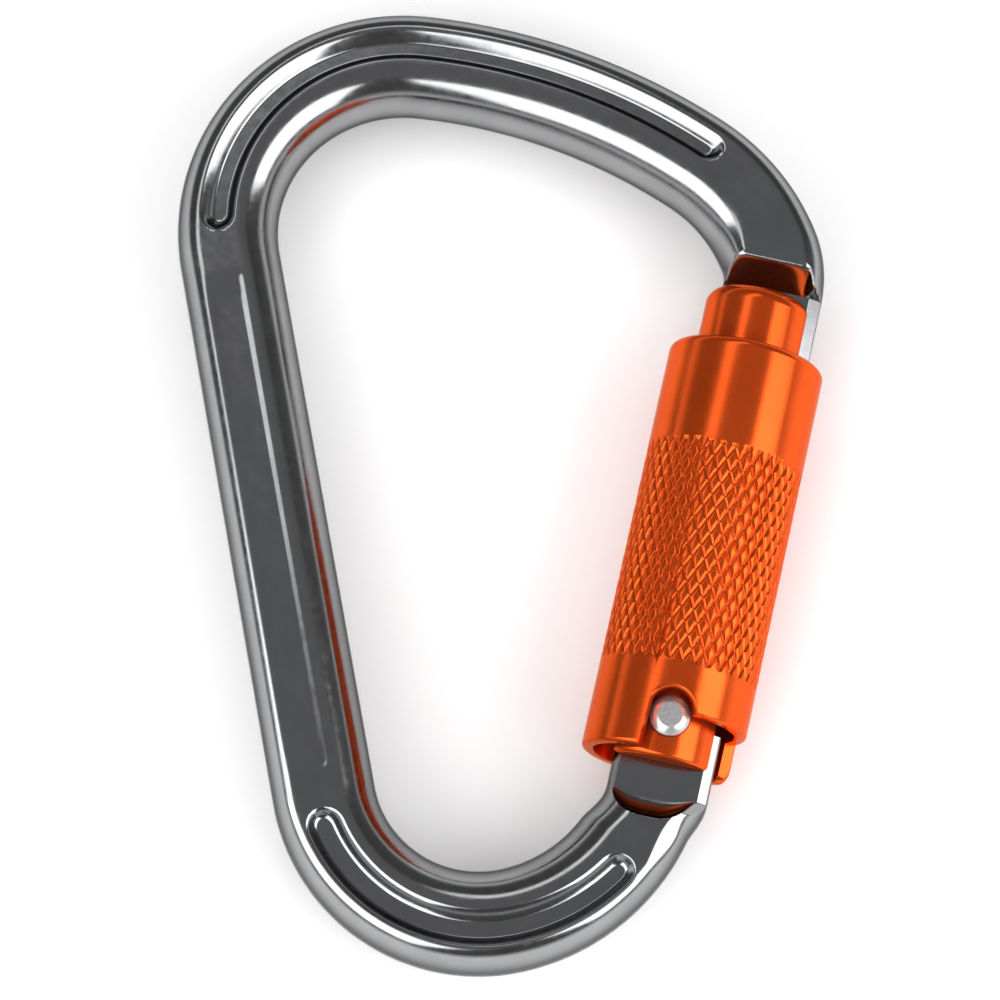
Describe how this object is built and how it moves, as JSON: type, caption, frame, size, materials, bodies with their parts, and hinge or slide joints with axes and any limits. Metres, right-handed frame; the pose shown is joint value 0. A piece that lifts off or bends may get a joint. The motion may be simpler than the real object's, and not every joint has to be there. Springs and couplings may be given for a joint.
{
  "type": "locking carabiner",
  "caption": "Pear-shaped locking carabiner: a forged hooked body, a swinging tube gate and a knurled sleeve that lifts and twists to unlock it.",
  "frame": {"origin": "centre of the whole object's box, midway between the two faces", "axes": "+X from the spine towards the gate, +Y from the hinge end towards the nose end, +Z out of the front face, where the rivet head is"},
  "size_m": [0.0762, 0.1146, 0.0182],
  "materials": {
    "polished_body": "polished, with light handling scratches",
    "orange_anodised": "satin orange anodising",
    "rivet_steel": "domed and polished, with a matt flat top",
    "spring_steel": "drawn spring wire",
    "bush_brass": "turned",
    "washer_polymer": "matt"
  },
  "bodies": {
    "body": {"frame_body": "polished_body"},
    "gate": {"gate": "orange_anodised", "hinge_rivet": "rivet_steel", "gate_spring": "spring_steel", "spring_collar": "bush_brass"},
    "plunger": {"gate_plunger": "bush_brass"},
    "sleeve_carrier": {"thrust_washer": "washer_polymer", "sleeve_spring": "spring_steel"},
    "sleeve": {"locking_sleeve": "orange_anodised", "guide_bush": "bush_brass"}
  },
  "joints": [
    {"name": "gate_swing", "type": "hinge", "parent": "body", "child": "gate", "pos_m": [0.01905, -0.02869, 0], "axis": [0, 0, 1], "range_deg": [0, 22], "stiffness_Nm_per_rad": 0.02, "springref_deg": -45.84},
    {"name": "plunger_slide", "type": "slide", "parent": "gate", "child": "plunger", "axis": [0.219, 0.9757, 0], "range_m": [0, 0.0014], "deforming": ["gate_spring"]},
    {"name": "sleeve_lift", "type": "slide", "parent": "gate", "child": "sleeve_carrier", "axis": [0.219, 0.9757, 0], "range_m": [0, 0.003], "stiffness_N_per_m": 400, "springref_m": -0.01, "deforming": ["sleeve_spring"]},
    {"name": "sleeve_twist", "type": "hinge", "parent": "sleeve_carrier", "child": "sleeve", "pos_m": [0.01905, -0.02869, 0], "axis": [-0.219, -0.9757, 0], "range_deg": [0, 95], "stiffness_Nm_per_rad": 0.02, "springref_deg": -34.38}
  ],
  "couplings": [
    {"joint": "plunger_slide", "follows": "gate_swing", "m_per_rad": 0.0035}
  ]
}
